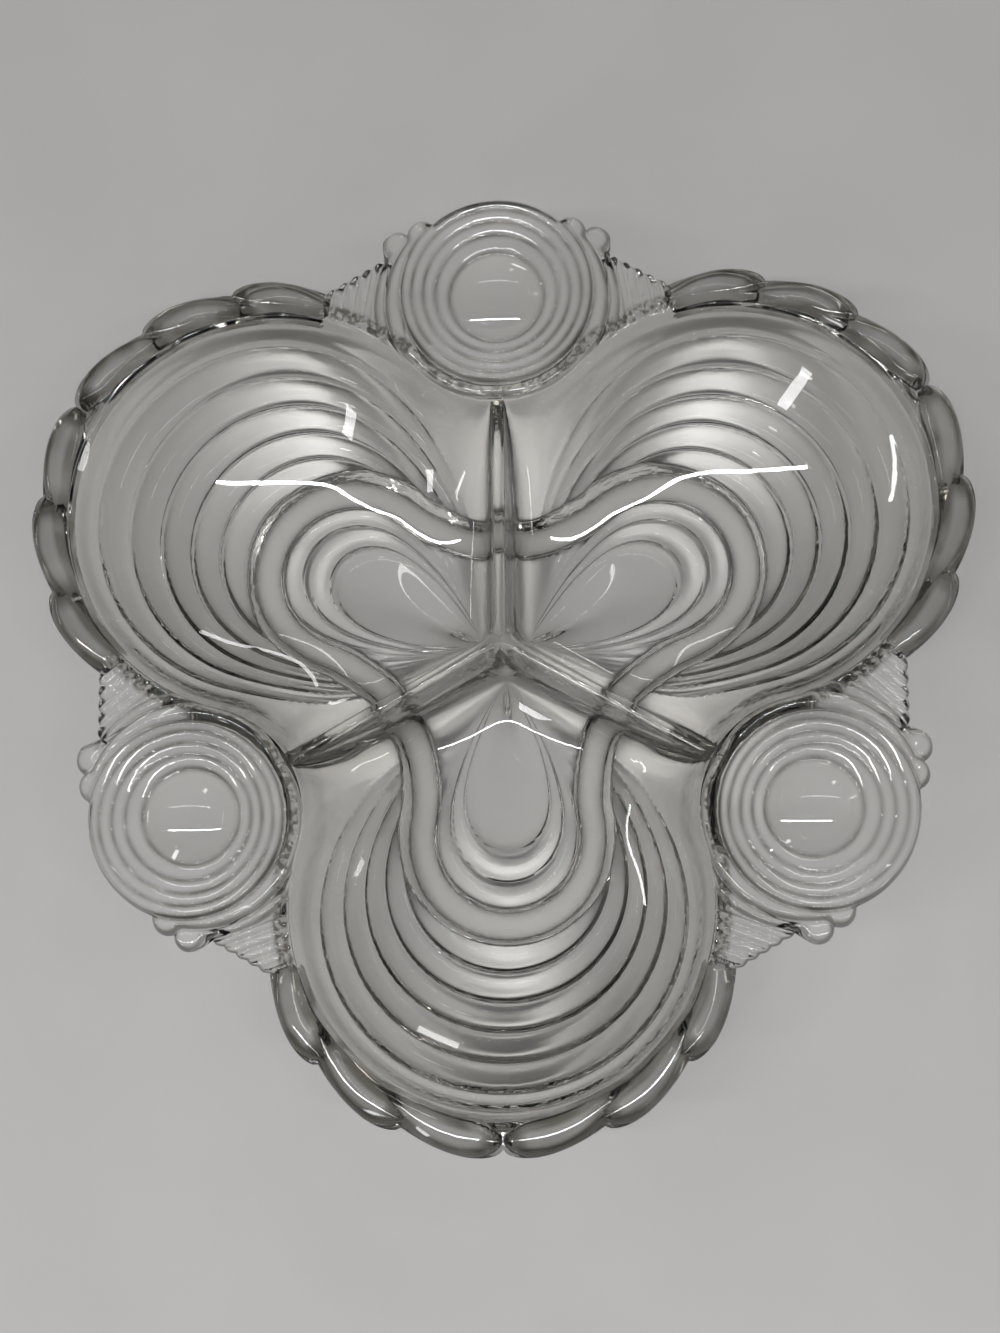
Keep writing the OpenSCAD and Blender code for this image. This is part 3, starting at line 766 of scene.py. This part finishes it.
# Painted shade: steep glass seen along its slope is darkened toward a grey, and marked glass toward a dark
# brown-grey; only the flat glass colour is the glass's own
FLAT_GLASS, STEEP_GLASS_SHADE = (0.985, 0.99, 0.985, 1), (0.25, 0.25, 0.24, 1)
PAINTED_SHADE_COLOR, EDGE_SHADE_TINT = (0.1, 0.094, 0.072, 1), (1, 0.99, 0.96)
EDGE_SHADE_STOPS = ((0.05, 0.98), (0.15, 0.88), (0.28, 0.66), (0.45, 0.42), (0.7, 0.28))
SHADOW_STOPS = ((0.0, 1), (0.04, 0.97), (0.12, 0.88), (0.25, 0.78), (0.5, 0.64), (1.0, 0.45))
THICK_GLASS, THICK_DENSITY = (0.66, 0.65, 0.60, 1), 24.0
TABLE_ROUGHNESS, TABLE_SCALE, TABLE_DETAIL = 0.55, 14.0, 4.0
TABLE_STOPS = ((0.3, (0.35, 0.344, 0.339, 1)), (0.75, (0.38, 0.373, 0.367, 1)))
ROOM_STOPS = ((0.0, (0.03, 0.03, 0.029, 1)), (0.35, (0.09, 0.09, 0.089, 1)), (0.85, (0.24, 0.24, 0.24, 1)))


def add(tree, kind, **inputs):
    """New node, with values for its inputs."""
    node = tree.nodes.new(kind)
    for key, value in inputs.items():
        node.inputs[key].default_value = value
    return node


def noise(tree, place, **inputs):
    node = add(tree, "ShaderNodeTexNoise", **inputs)
    tree.links.new(place, node.inputs["Vector"])
    return node.outputs["Fac"]


def calculate(tree, operation, first, second):
    """Math node on two outputs or numbers."""
    node = tree.nodes.new("ShaderNodeMath")
    node.operation = operation
    for socket, value in zip(node.inputs, (first, second)):
        if isinstance(value, float):
            socket.default_value = value
        else:
            tree.links.new(value, socket)
    return node.outputs["Value"]


def map_range(tree, value, span, level):
    node = tree.nodes.new("ShaderNodeMapRange")
    for key, number in zip(("From Min", "From Max", "To Min", "To Max"), span + level):
        node.inputs[key].default_value = number
    tree.links.new(value, node.inputs["Value"])
    return node.outputs["Result"]


def color_ramp(tree, value, stops):
    """Colour ramp, from pairs of a place and a colour in their order."""
    node = tree.nodes.new("ShaderNodeValToRGB")
    elements = node.color_ramp.elements
    for element, (place, color) in zip((elements[0], elements[1]), (stops[0], stops[-1])):
        element.position, element.color = place, color
    for place, color in stops[1:-1]:
        elements.new(place).color = color
    tree.links.new(value, node.inputs["Fac"])
    return node.outputs["Color"]


def mark(tree, name):
    node = tree.nodes.new("ShaderNodeAttribute")
    node.attribute_name = name
    return node.outputs["Fac"]


def steepness(tree, coords):
    """0 on level glass and 1 on upright glass."""
    split = tree.nodes.new("ShaderNodeSeparateXYZ")
    tree.links.new(coords.outputs["Normal"], split.inputs["Vector"])
    level = calculate(tree, "MULTIPLY", split.outputs["Z"], split.outputs["Z"])
    return calculate(tree, "SUBTRACT", 1.0, level)


def uneven_surface(tree, place, steep):
    """Slow waves everywhere, and fine streaks where the glass is steep."""
    waves = add(tree, "ShaderNodeBump", Strength=WAVE_STRENGTH, Distance=WAVE_DEPTH)
    height = noise(tree, place, Scale=WAVE_SCALE, Detail=WAVE_DETAIL)
    tree.links.new(height, waves.inputs["Height"])
    streaks = add(tree, "ShaderNodeBump", Distance=STREAK_DEPTH)
    height = noise(tree, place, Scale=STREAK_SCALE, Detail=STREAK_DETAIL)
    tree.links.new(height, streaks.inputs["Height"])
    tree.links.new(calculate(tree, "POWER", steep, STREAK_POWER), streaks.inputs["Strength"])
    tree.links.new(waves.outputs["Normal"], streaks.inputs["Normal"])
    return streaks.outputs["Normal"]


def glass_color_and_painted_shade(tree, place, wear_and_speckle, slanted):
    """Painted shade: darker where steep glass is seen along its slope, and where the mesh is marked with
    painted shade.
    """
    stops = [(at, tuple(level * part for part in EDGE_SHADE_TINT) + (1,)) for at, level in EDGE_SHADE_STOPS]
    edge = color_ramp(tree, slanted, [(0.0, FLAT_GLASS)] + stops + [(1.0, STEEP_GLASS_SHADE)])
    swirl = noise(tree, place, Scale=SWIRL_SCALE, Detail=SWIRL_DETAIL, Distortion=SWIRL_TWIST)
    swirl = map_range(tree, swirl, SWIRL_SPAN, SWIRL_LEVEL)
    painted_speckle = map_range(tree, wear_and_speckle, PAINTED_SPECKLE_SPAN, PAINTED_SPECKLE_LEVEL)
    painted_swirled_shade = calculate(tree, "MULTIPLY", mark(tree, "shade"), swirl)
    painted_speckled_shade = calculate(tree, "MULTIPLY", mark(tree, "painted_speckle"), painted_speckle)
    # Mixes in the painted shade colour as far as the shade marks say
    tint = tree.nodes.new("ShaderNodeMix")
    tint.data_type, tint.blend_type = "RGBA", "MULTIPLY"
    tree.links.new(calculate(tree, "MAXIMUM", painted_swirled_shade, painted_speckled_shade), tint.inputs["Factor"])
    tree.links.new(edge, tint.inputs["A"])
    tint.inputs["B"].default_value = PAINTED_SHADE_COLOR
    return tint.outputs["Result"]


def light_through(tree, facing):
    """Lets light through to the table, as much as the slope and the mesh's mark say."""
    stops = [(at, (level, level, level, 1)) for at, level in SHADOW_STOPS]
    focus = tree.nodes.new("ShaderNodeVectorMath")
    focus.operation = "SCALE"
    tree.links.new(mark(tree, "focus"), focus.inputs["Scale"])
    tree.links.new(color_ramp(tree, facing, stops), focus.inputs["Vector"])
    clear = tree.nodes.new("ShaderNodeBsdfTransparent")
    tree.links.new(focus.outputs["Vector"], clear.inputs["Color"])
    return clear.outputs["BSDF"]


def glass_material():
    mat = bpy.data.materials.new("pressed_glass")
    mat.use_nodes = True
    tree = mat.node_tree
    links, bsdf, out = tree.links, tree.nodes["Principled BSDF"], tree.nodes["Material Output"]
    bsdf.inputs["Transmission Weight"].default_value = 1.0
    bsdf.inputs["IOR"].default_value = IOR
    coords = tree.nodes.new("ShaderNodeTexCoord")
    place = coords.outputs["Object"]
    # One noise gives the real wear in the roughness and the speckle of the painted shade
    wear_and_speckle = noise(tree, place, Scale=WEAR_AND_SPECKLE_SCALE, Detail=WEAR_AND_SPECKLE_DETAIL)
    steep = steepness(tree, coords)
    facing = add(tree, "ShaderNodeLayerWeight", Blend=FACING_BLEND).outputs["Facing"]
    slanted = calculate(tree, "MULTIPLY", steep, facing)
    links.new(map_range(tree, wear_and_speckle, WEAR_SPAN, WEAR_ROUGHNESS), bsdf.inputs["Roughness"])
    links.new(uneven_surface(tree, place, steep), bsdf.inputs["Normal"])
    links.new(glass_color_and_painted_shade(tree, place, wear_and_speckle, slanted), bsdf.inputs["Base Color"])
    path = tree.nodes.new("ShaderNodeLightPath")
    mix = tree.nodes.new("ShaderNodeMixShader")
    lighting = calculate(tree, "MAXIMUM", path.outputs["Is Shadow Ray"], path.outputs["Is Diffuse Ray"])
    links.new(lighting, mix.inputs["Fac"])
    links.new(bsdf.outputs["BSDF"], mix.inputs[1])
    links.new(light_through(tree, facing), mix.inputs[2])
    links.new(mix.outputs["Shader"], out.inputs["Surface"])
    depth = add(tree, "ShaderNodeVolumeAbsorption", Color=THICK_GLASS, Density=THICK_DENSITY)
    links.new(depth.outputs["Volume"], out.inputs["Volume"])
    return mat


def floor_material():
    mat = bpy.data.materials.new("pale_table")
    mat.use_nodes = True
    tree = mat.node_tree
    bsdf = tree.nodes["Principled BSDF"]
    bsdf.inputs["Roughness"].default_value = TABLE_ROUGHNESS
    place = tree.nodes.new("ShaderNodeTexCoord").outputs["Object"]
    mottle = noise(tree, place, Scale=TABLE_SCALE, Detail=TABLE_DETAIL)
    tree.links.new(color_ramp(tree, mottle, TABLE_STOPS), bsdf.inputs["Base Color"])
    return mat


# Room, lights and camera, in metres
FLOOR_SIZE, FLOOR_DROP = 40, 0.0003
LAMP_AT, LAMP_SIZE, LAMP_POWER = (-0.30, -0.48, 2.0), (2.8, 0.055), 48
LENS, SENSOR, CLIP_START = 66.21, 36, 0.01
CAMERA_AT, CAMERA_TURN = (0.0383, -0.12475, 0.6611), (11.15, 3.58, -0.41)

# Windows: name, azimuth and elevation in degrees, size and power
WINDOW_FAR = 2.4
WINDOWS = (
    ("window_front", 232, 35, (0.2, 0.6), 5),
    ("window_side", 178, 18, (0.9, 0.06), 3),
    ("window_back", 70, 20, (0.6, 0.1), 2),
    ("window_right", 345, 16, (1.2, 0.12), 3.5),
)


def make_floor():
    bpy.ops.mesh.primitive_plane_add(size=FLOOR_SIZE, location=(0, 0, -FLOOR_DROP))
    floor = bpy.context.object
    floor.name = "floor"
    floor.data.materials.append(floor_material())


def area_light(name, place, size, power):
    """Rectangular lamp, which shines straight down until it is turned."""
    light = bpy.data.lights.new(name, "AREA")
    light.shape = "RECTANGLE"
    light.size, light.size_y = size
    light.energy = power
    obj = bpy.data.objects.new(name, light)
    obj.location = place
    bpy.context.collection.objects.link(obj)
    return obj


def window(name, azimuth, elevation, size, power):
    """Narrow lamp that faces the tray, at an azimuth and an elevation in degrees."""
    a, e = math.radians(azimuth), math.radians(elevation)
    level = WINDOW_FAR * math.cos(e)
    place = (level * math.cos(a), level * math.sin(a), WINDOW_FAR * math.sin(e))
    obj = area_light(name, place, size, power)
    obj.rotation_euler = (-Vector(place)).to_track_quat("-Z", "Y").to_euler()


def make_world():
    """Dark room that grows paler toward the ceiling."""
    world = bpy.data.worlds.new("room")
    bpy.context.scene.world = world
    world.use_nodes = True
    tree = world.node_tree
    coords = tree.nodes.new("ShaderNodeTexCoord")
    split = tree.nodes.new("ShaderNodeSeparateXYZ")
    tree.links.new(coords.outputs["Generated"], split.inputs["Vector"])
    color = color_ramp(tree, split.outputs["Z"], ROOM_STOPS)
    tree.links.new(color, tree.nodes["Background"].inputs["Color"])


def make_camera():
    camera = bpy.data.cameras.new("camera")
    camera.lens, camera.sensor_width, camera.clip_start = LENS, SENSOR, CLIP_START
    obj = bpy.data.objects.new("camera", camera)
    obj.location = CAMERA_AT
    obj.rotation_euler = Euler([math.radians(turn) for turn in CAMERA_TURN])
    bpy.context.collection.objects.link(obj)
    bpy.context.scene.camera = obj


make_camera()
tray = make_object("relish_tray_glass", *glass_mesh())
tray.data.materials.append(glass_material())
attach(tray, "root")
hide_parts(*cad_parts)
make_floor()
make_world()
area_light("tube_lamp", LAMP_AT, LAMP_SIZE, LAMP_POWER)
for lamp in WINDOWS:
    window(*lamp)
bpy.context.scene.view_settings.view_transform = "Standard"
